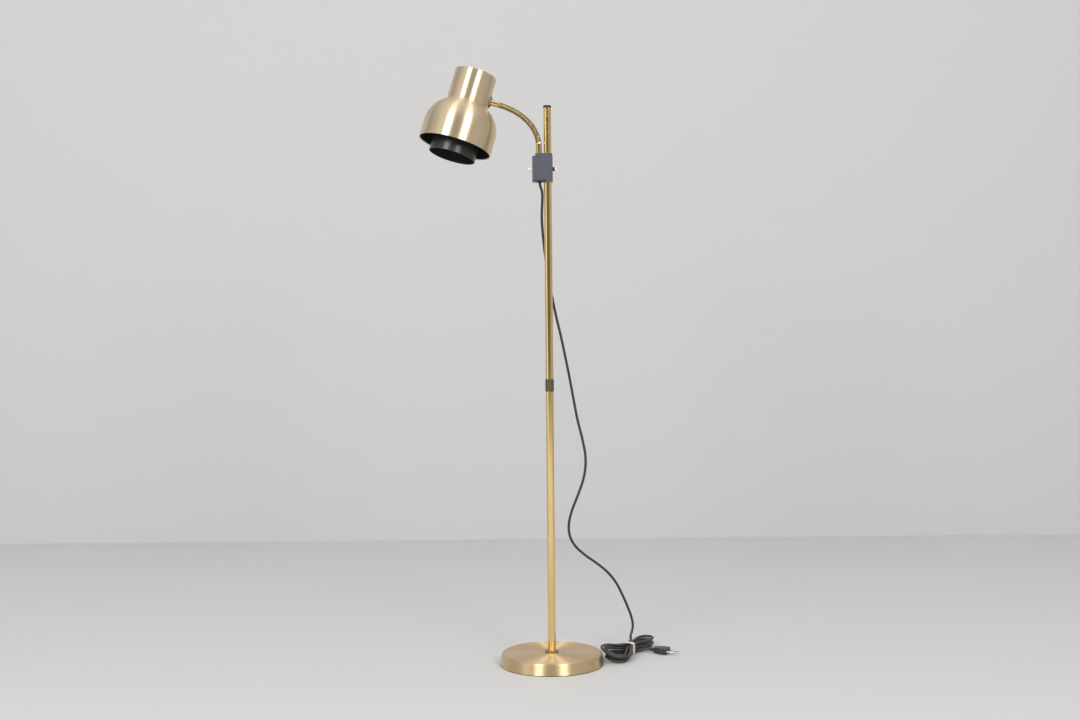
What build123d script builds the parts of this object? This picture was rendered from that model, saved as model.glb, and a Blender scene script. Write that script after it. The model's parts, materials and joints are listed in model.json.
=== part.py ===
from build123d import *
import math
import os

# A brass floor lamp: a weighted round base, a pole in two lengths, a clamp with a switch that
# slides and swivels on the pole, a ribbed gooseneck and a bell-shaped shade with a glare tube.
# Millimetres, +Z up. The origin lies on the floor under the pole's axis, the arm reaches
# towards -X, and the clamp's front faces -Y.

# Clearances that several pieces share
RUN_GAP = 0.06
SLIP_GAP = 0.03
FACE_GAP = 0.1
OVERRUN = 5.0

# Base: a spun cover over a cast weight, on a felt pad
BASE_D = 214.0
BASE_DRAFT = 3.5
BASE_H = 25.0
BASE_EDGE_R = 4.0
BASE_SHEET = 1.2
BASE_RIM_LIFT = 1.5
PAD_INSET = 1.4
PAD_T = 1.6
WEIGHT_GAP = 1.0
WEIGHT_HEADROOM = 8.0
WEIGHT_BOSS_D = 44.0
STUD_D = 8.0
STUD_HOLE_GAP = 0.4
STUD_END = 1.5
WASHER_D = 24.0
WASHER_T = 2.0
NUT_ACROSS = 13.0
NUT_H = 6.5
NUT_ROOM = 6.0
COLLAR_D = 28.5
COLLAR_H = 3.0
COLLAR_EDGE_R = 1.0

# Pole: two tubes on a grey coupling, with a black cap
POLE_D = 16.0
POLE_WALL = 1.0
LOWER_TUBE_L = 538.0
UPPER_TUBE_L = 554.1
FOOT_PLUG_L = 24.0
STUD_ENGAGE = 18.0
COUPLING_D = 17.6
COUPLING_L = 25.5
COUPLING_EDGE_R = 0.5
SPIGOT_L = 24.0
CAP_D = 16.5
CAP_H = 5.2
CAP_EDGE_R = 1.6
CAP_SPIGOT_L = 14.0

# Clamp housing, on a split bush round the pole
CLAMP_Z = 1021.2
CLAMP_W = 41.6
CLAMP_DEPTH = 30.0
CLAMP_H = 52.5
CLAMP_CORNER_R = 2.5
CLAMP_EDGE_R = 0.5
CLAMP_WALL = 1.8
CLAMP_TOP_WALL = 3.0
CLAMP_CHEEK = 1.2
CLAMP_WEB = 1.5
BUSH_WALL = 0.8
BUSH_SLIT = 1.6
BUSH_LIP = 1.5
POLE_HOLE_GAP = 0.4
TOP_COVER_H = 5.5
TOP_COVER_RIM = 1.2
TOP_COVER_INSET = 0.8
TOP_COVER_EDGE_R = 0.8
BOTTOM_COVER_T = 3.5
BOTTOM_COVER_END = 3.0
BOTTOM_COVER_WEB = 0.9
COVER_SCREW_D = 3.0
COVER_SCREW_HEAD_D = 5.4
COVER_SCREW_HEAD_H = 1.6
COVER_SCREW_L = 11.0
COVER_POST_D = 6.0
COVER_POST_SINK = 0.8

# Wing screw on the right, with its threaded bush
SCREW_D = 4.8
SCREW_BUSH_D = 8.4
SCREW_BUSH_L = 4.0
WING_HUB_D = 5.6
WING_HUB_L = 3.8
WING_SPAN = 19.0
WING_T = 2.0
WING_ROOT_L = 3.2
WING_TIP_L = 3.4
WING_TIP_R = 1.1
WING_SWEEP = 2.6
WING_ANGLE = 45.0

# Push switch on the left
SWITCH_BUSH_D = 6.0
SWITCH_BUSH_OUT = 3.2
SWITCH_STEM_D = 3.6
SWITCH_HEAD_D = 6.4
SWITCH_HEAD_L = 3.2
SWITCH_HEAD_EDGE_R = 1.0
SWITCH_TRAVEL = 2.0
SWITCH_STEM_IN = 3.0
SWITCH_BODY_L = 10.0
SWITCH_BODY_W = 11.0
SWITCH_BODY_H = 16.0

# Supply lead inside the clamp
CORD_D = 5.4
CORD_X = 16.4
GROMMET_D = 8.4
GROMMET_LIP_D = 10.4
GROMMET_LIP_T = 1.2
TERMINAL_W = 8.0
TERMINAL_DEPTH = 15.0
TERMINAL_H = 12.0
TERMINAL_RISE = 7.0

# Arm: two ferrules and a ribbed hose in ball-ended links
ARM_X = 17.7
FERRULE_D = 12.6
FERRULE_L = 21.0
FERRULE_EDGE_R = 0.6
FERRULE_TAIL_D = 8.0
FERRULE_TAIL_L = 9.0
FERRULE_NUT_ACROSS = 11.6
FERRULE_NUT_H = 4.0
HOSE_D = 11.6
HOSE_BORE_D = 6.4
RIB_DEPTH = 0.6
RIB_CREST_SHARE = 0.45
RIB_FLANK_SHARE = 0.15
LINK_COUNT = 8
LINK_L = 14.5
RIBS_PER_LINK = 5
BALL_GAP = 0.3
FIRST_KINK = 12.5
LAST_KINK = 3.82
ARM_TIP_L = 20.4
NIPPLE_D = 9.8
NIPPLE_END = 4.0
SADDLE_D = 24.0
SADDLE_T = 1.8
ARM_WASHER_D = 17.0
ARM_WASHER_T = 1.5
LOCKNUT_ACROSS = 14.0
LOCKNUT_H = 4.0

# Shade: a neck, a round shoulder and a short cylinder down to the rim
NECK_D = 86.6
NECK_L = 67.6
NECK_EDGE_R = 2.0
NECK_FILLET_R = 5.0
SHADE_D = 150.0
SHADE_H = 157.0
BOWL_R = 59.0
SHADE_SHEET = 1.2
SHADE_ROLL = 8.8
ARM_DEPTH = 48.4
VENT_COUNT = 8
VENT_D = 7.0
VENT_CIRCLE_D = 52.0

# Glare tube inside the rim, held by spring clips
LOUVRE_D = 96.0
LOUVRE_WALL = 1.2
LOUVRE_DROP = 21.0
LOUVRE_RISE = 26.0
LOUVRE_GAP = 0.4
LOUVRE_SKIRT_LIFT = 2.0
CLIP_COUNT = 3
CLIP_W = 10.0
CLIP_T = 0.8
CLIP_TAB_L = 11.0
CLIP_H = 11.0
CLIP_GAP = 0.3

# Lampholder on its bracket, and the bulb
BRACKET_W = 16.0
BRACKET_T = 2.0
BRACKET_RISE = 36.0
BRACKET_DROP = 9.0
BRACKET_PAST = 9.0
HOLDER_D = 40.0
HOLDER_L = 46.0
HOLDER_BORE_D = 27.6
HOLDER_BORE_L = 34.0
HOLDER_EDGE_R = 3.0
HOLDER_NIPPLE_D = 9.8
HOLDER_NIPPLE_L = 8.0
HOLDER_NUT_ACROSS = 14.0
HOLDER_NUT_H = 4.0
BULB_CAP_GAP = 0.4
BULB_CAP_L = 24.0
BULB_D = 60.0
BULB_L = 81.0
BULB_NECK_D = 26.0
BULB_NECK_L = 7.0
BULB_WALL = 1.0

# Mains cord, from the clamp down to the hank on the floor and on to the plug
CORD_EXIT_RUN = 16.0
CORD_TOP_POINTS = [
    (-14.8, 7.4, 957.0), (-16.0, 12.0, 929.0), (-13.4, 14.6, 898.0), (-9.4, 16.4, 865.0),
    (-5.0, 17.6, 831.0),
]
CORD_DROP_POINTS = [
    (0.4, 18.4, 796.0), (6.8, 18.8, 761.0), (14.0, 19.0, 723.0), (23.6, 20.0, 683.0),
    (32.4, 22.0, 640.0), (41.0, 24.6, 596.0), (49.0, 27.6, 551.0), (57.0, 31.0, 505.0),
    (68.0, 35.0, 463.0), (75.4, 39.0, 422.0), (71.0, 43.0, 382.0), (57.0, 48.0, 343.0),
    (42.0, 54.0, 306.0), (36.0, 59.0, 270.0), (46.0, 65.5, 239.0), (70.0, 74.5, 215.0),
    (97.0, 84.0, 195.0), (121.0, 93.5, 174.0), (139.6, 104.5, 149.0), (152.6, 116.5, 121.0),
    (161.8, 127.2, 93.5), (167.2, 134.4, 68.0), (169.8, 136.0, 49.8), (169.8, 135.2, 36.7),
    (169.5, 130.4, 27.6),
]
HANK_LEAVE_RUN = 10.2
TAIL_RUN = 9.5
TAIL_MIDDLE = (191.0, 97.0, 5.5)
PLUG_ENTRY = (210.6, 94.0)
ARC_RUN_SHARE = 0.45

# Hank: one unbroken length in four layers, drawn in at the waist by a rubber band
HANK_X = 168.0
HANK_Y = 82.0
HANK_YAW = 61.4
HANK_HALF_L = 88.0
HANK_LOBE = 40.0
HANK_WAIST = 1.5
HANK_STEP = 7.1
HANK_LAYER = 5.9
HANK_LAYER_TURNS = [1.0, 1.0, 1.0, 1.54]
HANK_CLIMB_TURN_SHARE = 0.5
HANK_SPANS_PER_TURN = 8
HANK_NEIGHBOUR_L = 27.0
BAND_T = 1.2
BAND_W = 4.0
BAND_GAP = 0.35

# Two-pin plug at the end of the tail
PLUG_HEADING = -25.0
PLUG_L = 31.0
PLUG_W = 26.0
PLUG_REAR_W = 12.0
PLUG_TAPER_L = 15.0
PLUG_H = 13.6
PLUG_EDGE_R = 2.4
SLEEVE_L = 10.0
SLEEVE_D = 8.8
SLEEVE_TIP_D = 6.8
PIN_D = 4.0
PIN_L = 19.0
PIN_PITCH = 18.6

# Places that follow from the sizes above
BASE_TOP_D = BASE_D - 2 * BASE_DRAFT
POLE_R = POLE_D / 2
POLE_BORE_R = POLE_R - POLE_WALL
POLE_FOOT_Z = BASE_H + COLLAR_H
COUPLING_Z = POLE_FOOT_Z + LOWER_TUBE_L
UPPER_TUBE_Z = COUPLING_Z + COUPLING_L
POLE_TOP_Z = UPPER_TUBE_Z + UPPER_TUBE_L
WEIGHT_TOP_Z = BASE_H - BASE_SHEET - WEIGHT_HEADROOM
NUT_RECESS_Z = PAD_T + STUD_END + NUT_H + WASHER_T
BUSH_IN_R = POLE_R + RUN_GAP
BUSH_OUT_R = BUSH_IN_R + BUSH_WALL
CLAMP_BORE_R = BUSH_OUT_R + RUN_GAP
CLAMP_RIGHT = CLAMP_BORE_R + CLAMP_CHEEK
CLAMP_LEFT = CLAMP_RIGHT - CLAMP_W
CLAMP_BOTTOM = CLAMP_Z - CLAMP_H / 2
CLAMP_TOP = CLAMP_Z + CLAMP_H / 2
POCKET_LEFT = CLAMP_LEFT + CLAMP_WALL
POCKET_RIGHT = -CLAMP_BORE_R - CLAMP_WEB
POCKET_HALF_Y = CLAMP_DEPTH / 2 - CLAMP_WALL
POCKET_TOP = CLAMP_TOP - CLAMP_TOP_WALL
POST_X = POCKET_LEFT + COVER_POST_D / 2 - COVER_POST_SINK
POST_Y = POCKET_HALF_Y - COVER_POST_D / 2 + COVER_POST_SINK
CORD_R = CORD_D / 2
CORD_EXIT_Z = CLAMP_BOTTOM - GROMMET_LIP_T
TERMINAL_Z = CLAMP_BOTTOM + BOTTOM_COVER_T + TERMINAL_RISE
HOSE_R = HOSE_D / 2
CUP_R = HOSE_R + BALL_GAP
LIP_R = HOSE_R - RIB_DEPTH
LIP_START = math.sqrt(CUP_R**2 - LIP_R**2)
NECK_R = NECK_D / 2
SHADE_R = SHADE_D / 2
BOWL_CENTRE_R = SHADE_R - BOWL_R
BOWL_CENTRE_Z = ARM_DEPTH - NECK_L - math.sqrt(BOWL_R**2 - (NECK_R - BOWL_CENTRE_R)**2)
RIM_Z = ARM_DEPTH - SHADE_H
NECK_BORE_R = NECK_R - SHADE_SHEET
BRACKET_X = math.sqrt(NECK_BORE_R**2 - (BRACKET_W / 2)**2) - CLIP_GAP
HOLDER_MOUTH_Z = BRACKET_RISE - HOLDER_L
BAND_LIFT = BAND_T + BAND_GAP
HANK_Z = BAND_LIFT + CORD_R


def rod(radius, bottom, top):
    """A solid cylinder on the Z axis."""
    low = (Align.CENTER, Align.CENTER, Align.MIN)
    return Pos(0, 0, bottom) * Cylinder(radius, top - bottom, align=low)


def ring(outer_radius, inner_radius, bottom, top):
    """A hollow cylinder on the Z axis."""
    bore = rod(inner_radius, bottom - OVERRUN, top + OVERRUN)
    return rod(outer_radius, bottom, top) - bore


def turned(points):
    """The solid that a closed outline of (radius, height) points sweeps round the Z axis."""
    outline = Polyline([(radius, 0, height) for radius, height in points], close=True)
    return revolve(make_face(outline), Axis.Z)


def block(left, right, half_depth, bottom, top):
    """A box between two places on X, as deep before as behind the pole's axis."""
    middle = Pos((left + right) / 2, 0, (bottom + top) / 2)
    return middle * Box(right - left, half_depth * 2, top - bottom)


def hex_nut(across, hole_radius, bottom, top):
    """A six-sided nut on the Z axis."""
    flats = RegularPolygon(across / 2, 6, major_radius=False)
    body = Pos(0, 0, bottom) * extrude(flats, top - bottom)
    return body - rod(hole_radius, bottom - OVERRUN, top + OVERRUN)


def round_rim(solid, height, radius):
    """The solid with its outermost circular edge at one height rounded."""
    circles = solid.edges().filter_by(GeomType.CIRCLE)
    level = [edge for edge in circles if abs(edge.center().Z - height) < SLIP_GAP]
    return fillet(max(level, key=lambda edge: edge.radius), radius)


def sideways(x, y, z):
    """The place of a piece that is turned along X: its own Z axis points to the right."""
    return Plane(origin=(x, y, z), x_dir=(0, 1, 0), z_dir=(1, 0, 0)).location


# Base and pole


def base_frustum(inset, bottom):
    """The base's outer form, or the form of its inside at a wall's inset."""
    low_r = BASE_D / 2 - inset
    high_r = BASE_TOP_D / 2 - inset
    top = BASE_H - inset
    form = turned([(0, bottom), (low_r, bottom), (high_r, top), (0, top)])
    return round_rim(form, top, max(BASE_EDGE_R - inset, SLIP_GAP))


def make_base_cover():
    shell = base_frustum(0, BASE_RIM_LIFT) - base_frustum(BASE_SHEET, BASE_RIM_LIFT - OVERRUN)
    return shell - rod(STUD_D / 2 + STUD_HOLE_GAP, 0, BASE_H + OVERRUN)


def make_base_weight():
    radius = BASE_TOP_D / 2 - BASE_EDGE_R - WEIGHT_GAP
    weight = rod(radius, PAD_T, WEIGHT_TOP_Z)
    weight += rod(WEIGHT_BOSS_D / 2, WEIGHT_TOP_Z, BASE_H - BASE_SHEET)
    weight -= rod(WASHER_D / 2 + NUT_ROOM, PAD_T - OVERRUN, NUT_RECESS_Z)
    return weight - rod(STUD_D / 2 + STUD_HOLE_GAP, 0, BASE_H + OVERRUN)


def make_base_collar():
    collar = round_rim(rod(COLLAR_D / 2, BASE_H, POLE_FOOT_Z), POLE_FOOT_Z, COLLAR_EDGE_R)
    return collar - rod(STUD_D / 2 + STUD_HOLE_GAP, BASE_H - OVERRUN, POLE_FOOT_Z + OVERRUN)


def make_foot_plug():
    top = POLE_FOOT_Z + FOOT_PLUG_L
    return ring(POLE_BORE_R - SLIP_GAP, STUD_D / 2 + SLIP_GAP, POLE_FOOT_Z, top)


def make_coupling():
    collar = rod(COUPLING_D / 2, COUPLING_Z, UPPER_TUBE_Z)
    collar = round_rim(collar, COUPLING_Z, COUPLING_EDGE_R)
    collar = round_rim(collar, UPPER_TUBE_Z, COUPLING_EDGE_R)
    spigot = rod(POLE_BORE_R - SLIP_GAP, COUPLING_Z - SPIGOT_L, UPPER_TUBE_Z + SPIGOT_L)
    return collar + spigot


def make_pole_cap():
    head = rod(CAP_D / 2, POLE_TOP_Z, POLE_TOP_Z + CAP_H)
    head = round_rim(head, POLE_TOP_Z + CAP_H, CAP_EDGE_R)
    return head + rod(POLE_BORE_R - SLIP_GAP, POLE_TOP_Z - CAP_SPIGOT_L, POLE_TOP_Z)


def base_and_pole():
    """Everything that stands still on the floor, apart from the cord."""
    washer_z = NUT_RECESS_Z - WASHER_T
    nut_z = washer_z - NUT_H
    pad_r = BASE_D / 2 - BASE_SHEET - PAD_INSET
    return {
        "base_cover": make_base_cover(),
        "base_weight": make_base_weight(),
        "base_pad": rod(pad_r, 0, PAD_T),
        "base_washer": ring(WASHER_D / 2, STUD_D / 2 + SLIP_GAP, washer_z, NUT_RECESS_Z),
        "base_nut": hex_nut(NUT_ACROSS, STUD_D / 2 + SLIP_GAP, nut_z, washer_z),
        "base_stud": rod(STUD_D / 2, PAD_T + STUD_END / 2, POLE_FOOT_Z + STUD_ENGAGE),
        "base_collar": make_base_collar(),
        "pole_foot_plug": make_foot_plug(),
        "pole_lower_tube": ring(POLE_R, POLE_BORE_R, POLE_FOOT_Z, COUPLING_Z),
        "pole_coupling": make_coupling(),
        "pole_upper_tube": ring(POLE_R, POLE_BORE_R, UPPER_TUBE_Z, POLE_TOP_Z),
        "pole_cap": make_pole_cap(),
    }


# Clamp


def make_clamp_bush():
    bush = ring(BUSH_OUT_R, BUSH_IN_R, CLAMP_BOTTOM + BUSH_LIP + FACE_GAP, CLAMP_TOP - FACE_GAP)
    slit = Pos(0, BUSH_OUT_R, CLAMP_Z) * Box(BUSH_SLIT, BUSH_OUT_R, CLAMP_H + OVERRUN)
    return bush - slit


def bottom_cover_form(clearance):
    """The plate under the pocket, which leaves a wall of the housing round the bore."""
    right = -BOTTOM_COVER_END + clearance
    top = CLAMP_BOTTOM + BOTTOM_COVER_T
    plate = block(CLAMP_LEFT, right, CLAMP_DEPTH / 2, CLAMP_BOTTOM, top)
    upright = plate.edges().filter_by(Axis.Z)
    plate = fillet(upright.group_by(Axis.X)[0], CLAMP_CORNER_R)
    wall_r = CLAMP_BORE_R + BOTTOM_COVER_WEB - clearance
    return plate - rod(wall_r, CLAMP_BOTTOM - OVERRUN, top + OVERRUN)


def make_clamp_housing():
    body = block(CLAMP_LEFT, CLAMP_RIGHT, CLAMP_DEPTH / 2, CLAMP_BOTTOM, CLAMP_TOP)
    body = fillet(body.edges().filter_by(Axis.Z), CLAMP_CORNER_R)
    body = fillet(body.faces().sort_by(Axis.Z)[-1].edges(), CLAMP_EDGE_R)
    body -= block(POCKET_LEFT, POCKET_RIGHT, POCKET_HALF_Y, CLAMP_BOTTOM - OVERRUN, POCKET_TOP)
    post = rod(COVER_POST_D / 2, CLAMP_BOTTOM + BOTTOM_COVER_T, POCKET_TOP)
    screw_top = CLAMP_BOTTOM + COVER_SCREW_L + FACE_GAP
    for side in (-1, 1):
        body += Pos(POST_X, side * POST_Y, 0) * post
        hole = rod(COVER_SCREW_D / 2 + SLIP_GAP, CLAMP_BOTTOM - OVERRUN, screw_top)
        body -= Pos(POST_X, side * POST_Y, 0) * hole
    body -= rod(CLAMP_BORE_R, CLAMP_BOTTOM + BUSH_LIP, CLAMP_TOP + OVERRUN)
    body -= rod(POLE_R + POLE_HOLE_GAP, CLAMP_BOTTOM - OVERRUN, CLAMP_TOP)
    body -= bottom_cover_form(SLIP_GAP)
    tail_hole = rod(FERRULE_TAIL_D / 2 + SLIP_GAP, POCKET_TOP - OVERRUN, CLAMP_TOP + OVERRUN)
    body -= Pos(-ARM_X, 0, 0) * tail_hole
    body -= sideways(0, 0, CLAMP_Z) * rod(SCREW_D / 2 + RUN_GAP, 0, CLAMP_RIGHT + OVERRUN)
    switch_hole = rod(SWITCH_BUSH_D / 2 + SLIP_GAP, CLAMP_LEFT - OVERRUN, POCKET_LEFT + FACE_GAP)
    return body - sideways(0, 0, CLAMP_Z) * switch_hole


def make_top_cover():
    left = -ARM_X - FERRULE_D / 2 - TOP_COVER_RIM
    right = CLAMP_RIGHT - TOP_COVER_INSET
    half_y = CLAMP_DEPTH / 2 - TOP_COVER_INSET
    top = CLAMP_TOP + TOP_COVER_H
    cover = block(left, right, half_y, CLAMP_TOP, top)
    cover = fillet(cover.edges().filter_by(Axis.Z), CLAMP_CORNER_R)
    cover = fillet(cover.faces().sort_by(Axis.Z)[-1].edges(), TOP_COVER_EDGE_R)
    cover -= rod(POLE_R + POLE_HOLE_GAP, CLAMP_TOP - OVERRUN, top + OVERRUN)
    socket = rod(FERRULE_D / 2 + SLIP_GAP, CLAMP_TOP - OVERRUN, top + OVERRUN)
    return cover - Pos(-ARM_X, 0, 0) * socket


def cover_screw_places():
    return [Pos(POST_X, side * POST_Y, 0) for side in (-1, 1)]


def cover_screw_form(clearance):
    """A countersunk screw, head down, or the hole that takes it."""
    head_r = COVER_SCREW_HEAD_D / 2 + clearance
    shank_r = COVER_SCREW_D / 2 + clearance
    head_z = CLAMP_BOTTOM + COVER_SCREW_HEAD_H
    end_z = CLAMP_BOTTOM + COVER_SCREW_L
    return turned([(0, CLAMP_BOTTOM), (head_r, CLAMP_BOTTOM), (shank_r, head_z),
                   (shank_r, end_z), (0, end_z)])


def make_bottom_cover():
    cover = bottom_cover_form(0)
    for place in cover_screw_places():
        cover -= place * cover_screw_form(SLIP_GAP)
    top = CLAMP_BOTTOM + BOTTOM_COVER_T
    hole = rod(GROMMET_D / 2 + SLIP_GAP, CLAMP_BOTTOM - OVERRUN, top + OVERRUN)
    return cover - Pos(-CORD_X, 0, 0) * hole


def make_grommet():
    body = rod(GROMMET_D / 2, CLAMP_BOTTOM, CLAMP_BOTTOM + BOTTOM_COVER_T)
    body += rod(GROMMET_LIP_D / 2, CORD_EXIT_Z, CLAMP_BOTTOM)
    hole = rod(CORD_R + SLIP_GAP, CORD_EXIT_Z - OVERRUN, CLAMP_BOTTOM + BOTTOM_COVER_T + OVERRUN)
    return Pos(-CORD_X, 0, 0) * (body - hole)


def make_wing_screw():
    tip = BUSH_OUT_R + FACE_GAP
    hub_start = CLAMP_RIGHT + SCREW_BUSH_L + FACE_GAP
    hub_end = hub_start + WING_HUB_L
    screw = rod(SCREW_D / 2, tip, hub_start) + rod(WING_HUB_D / 2, hub_start, hub_end)
    tip_end = hub_end + WING_SWEEP
    reach = WING_SPAN / 2
    outline = Polyline(
        (0, hub_end - WING_ROOT_L), (reach, tip_end - WING_TIP_L), (reach, tip_end),
        (WING_HUB_D / 2, hub_end), (0, hub_end), close=True)
    wing = extrude(Plane.XZ * make_face(outline), WING_T / 2, both=True)
    tip_edges = wing.edges().filter_by(Axis.Y).group_by(Axis.X)[-1]
    wing = fillet(tip_edges, WING_TIP_R)
    screw += wing + Rot(0, 0, 180) * wing
    return sideways(0, 0, CLAMP_Z) * Rot(0, 0, WING_ANGLE) * screw


def make_switch_body():
    right = POCKET_LEFT + SWITCH_BODY_L
    half_h = SWITCH_BODY_H / 2
    body = block(POCKET_LEFT, right, SWITCH_BODY_W / 2, CLAMP_Z - half_h, CLAMP_Z + half_h)
    room = POCKET_LEFT + SWITCH_STEM_IN + SWITCH_TRAVEL + FACE_GAP
    stem_room = rod(SWITCH_STEM_D / 2 + RUN_GAP, POCKET_LEFT - OVERRUN, room)
    return body - sideways(0, 0, CLAMP_Z) * stem_room


def make_switch_button():
    head_end = CLAMP_LEFT - SWITCH_BUSH_OUT - SWITCH_TRAVEL - FACE_GAP
    stem = rod(SWITCH_STEM_D / 2, head_end, POCKET_LEFT + SWITCH_STEM_IN)
    head = rod(SWITCH_HEAD_D / 2, head_end - SWITCH_HEAD_L, head_end)
    head = round_rim(head, head_end - SWITCH_HEAD_L, SWITCH_HEAD_EDGE_R)
    return sideways(0, 0, CLAMP_Z) * (stem + head)


def clamp_pieces():
    """The housing with all that is screwed to it, its bush, the wing screw and the button."""
    cord_axis = Pos(-CORD_X, 0, 0)
    arm_axis = Pos(-ARM_X, 0, 0)
    screws = Compound(children=[place * cover_screw_form(0) for place in cover_screw_places()])
    screw_bush = ring(SCREW_BUSH_D / 2, SCREW_D / 2 + RUN_GAP,
                      CLAMP_RIGHT, CLAMP_RIGHT + SCREW_BUSH_L)
    switch_bush = ring(SWITCH_BUSH_D / 2, SWITCH_STEM_D / 2 + RUN_GAP,
                       CLAMP_LEFT - SWITCH_BUSH_OUT, POCKET_LEFT)
    ferrule_nut = hex_nut(FERRULE_NUT_ACROSS, FERRULE_TAIL_D / 2 + SLIP_GAP,
                          POCKET_TOP - FERRULE_NUT_H, POCKET_TOP)
    terminal = block(POCKET_RIGHT - TERMINAL_W, POCKET_RIGHT, TERMINAL_DEPTH / 2,
                     TERMINAL_Z, TERMINAL_Z + TERMINAL_H)
    return {
        "clamp_bush": make_clamp_bush(),
        "clamp_housing": make_clamp_housing(),
        "clamp_top_cover": make_top_cover(),
        "clamp_bottom_cover": make_bottom_cover(),
        "clamp_cover_screws": screws,
        "cord_grommet": make_grommet(),
        "supply_lead": cord_axis * rod(CORD_R, CORD_EXIT_Z, TERMINAL_Z),
        "terminal_block": terminal,
        "screw_bush": sideways(0, 0, CLAMP_Z) * screw_bush,
        "wing_screw": make_wing_screw(),
        "switch_bush": sideways(0, 0, CLAMP_Z) * switch_bush,
        "switch_body": make_switch_body(),
        "switch_button": make_switch_button(),
        "arm_ferrule_nut": arm_axis * ferrule_nut,
    }


# Arm


def arm_headings():
    """The lean of the ferrule and of each link after it, in degrees from upright to the left."""
    step = (LAST_KINK - FIRST_KINK) / LINK_COUNT
    kinks = [FIRST_KINK + step * index for index in range(LINK_COUNT + 1)]
    return [sum(kinks[:count]) for count in range(LINK_COUNT + 2)]


def heading_vector(degrees):
    lean = math.radians(degrees)
    return Vector(-math.sin(lean), 0, math.cos(lean))


def arm_points():
    """The bending points of the arm, from the lower ferrule's ball to the upper ferrule's cup."""
    point = Vector(-ARM_X, 0, CLAMP_TOP + TOP_COVER_H + FERRULE_L)
    points = [point]
    for degrees in arm_headings()[1:-1]:
        point = point + heading_vector(degrees) * LINK_L
        points.append(point)
    return points


def arm_place(index):
    """The frame at one bending point: its Z axis runs along the piece that starts there."""
    along = heading_vector(arm_headings()[index + 1])
    return Plane(origin=arm_points()[index], x_dir=(0, 1, 0), z_dir=along).location


def ball_end(height):
    """The round end that turns in the next piece's cup."""
    return Pos(0, 0, height) * Sphere(HOSE_R)


def cup_cut():
    return Sphere(CUP_R)


def make_lower_ferrule():
    ball_z = CLAMP_TOP + TOP_COVER_H + FERRULE_L
    sleeve = rod(FERRULE_D / 2, CLAMP_TOP, ball_z)
    sleeve = round_rim(sleeve, ball_z, FERRULE_EDGE_R)
    tail_z = POCKET_TOP - FERRULE_TAIL_L + CLAMP_TOP_WALL
    tail = rod(FERRULE_TAIL_D / 2, tail_z, CLAMP_TOP)
    bore = rod(HOSE_BORE_D / 2, tail_z - OVERRUN, ball_z + CUP_R + OVERRUN)
    return Pos(-ARM_X, 0, 0) * (sleeve + tail + ball_end(ball_z) - bore)


def make_link():
    """One length of ribbed hose: a cup at its start, a ball at its end, ribs between them."""
    pitch = (LINK_L - LIP_START) / RIBS_PER_LINK
    outline = [(0, LIP_START)]
    for index in range(RIBS_PER_LINK):
        start = LIP_START + index * pitch
        crest = start + RIB_FLANK_SHARE * pitch
        crest_end = crest + RIB_CREST_SHARE * pitch
        outline += [(LIP_R, start), (HOSE_R, crest), (HOSE_R, crest_end),
                    (LIP_R, crest_end + RIB_FLANK_SHARE * pitch)]
    outline += [(LIP_R, LINK_L), (0, LINK_L)]
    body = turned(outline) + ball_end(LINK_L)
    bore = rod(HOSE_BORE_D / 2, -OVERRUN, LINK_L + CUP_R)
    return body - cup_cut() - bore


def make_upper_ferrule():
    """The arm's end piece: a cup on the last link, a sleeve, and the nipple into the shade."""
    sleeve_end = ARM_TIP_L - FACE_GAP - ARM_WASHER_T
    sleeve = rod(FERRULE_D / 2, LIP_START, sleeve_end)
    sleeve = round_rim(sleeve, LIP_START, FERRULE_EDGE_R)
    end = ARM_TIP_L + SADDLE_T + NECK_R - BRACKET_X + BRACKET_T + LOCKNUT_H + NIPPLE_END
    nipple = rod(NIPPLE_D / 2, sleeve_end, end)
    bore = rod(HOSE_BORE_D / 2, -OVERRUN, end + OVERRUN)
    return sleeve + nipple - cup_cut() - bore


def arm_pieces():
    """The two ferrules, the links of the hose, and the washer and nut on the nipple."""
    tip = arm_place(LINK_COUNT)
    washer_end = ARM_TIP_L - FACE_GAP
    washer = ring(ARM_WASHER_D / 2, NIPPLE_D / 2 + SLIP_GAP, washer_end - ARM_WASHER_T, washer_end)
    nut_start = ARM_TIP_L + SADDLE_T + NECK_R - BRACKET_X + BRACKET_T + FACE_GAP
    locknut = hex_nut(LOCKNUT_ACROSS, NIPPLE_D / 2 + SLIP_GAP, nut_start, nut_start + LOCKNUT_H)
    pieces = {"arm_lower_ferrule": make_lower_ferrule()}
    link = make_link()
    for index in range(LINK_COUNT):
        pieces[f"gooseneck_link_{index + 1}"] = arm_place(index) * link
    pieces["arm_upper_ferrule"] = tip * make_upper_ferrule()
    pieces["arm_washer"] = tip * washer
    pieces["arm_locknut"] = tip * locknut
    return pieces


# Shade, in its own frame: Z up its axis, X towards the arm, the origin where the two axes meet


def shade_place():
    """The frame of the shade, rolled about the arm's end so that its mouth turns to the front."""
    along = heading_vector(arm_headings()[-1])
    centre = arm_points()[-1] + along * (ARM_TIP_L + SADDLE_T + NECK_R)
    upright = along.cross(Vector(0, -1, 0))
    roll = math.radians(SHADE_ROLL)
    axis = upright * math.cos(roll) + Vector(0, 1, 0) * math.sin(roll)
    return Plane(origin=centre, x_dir=along * -1, z_dir=axis).location


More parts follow.
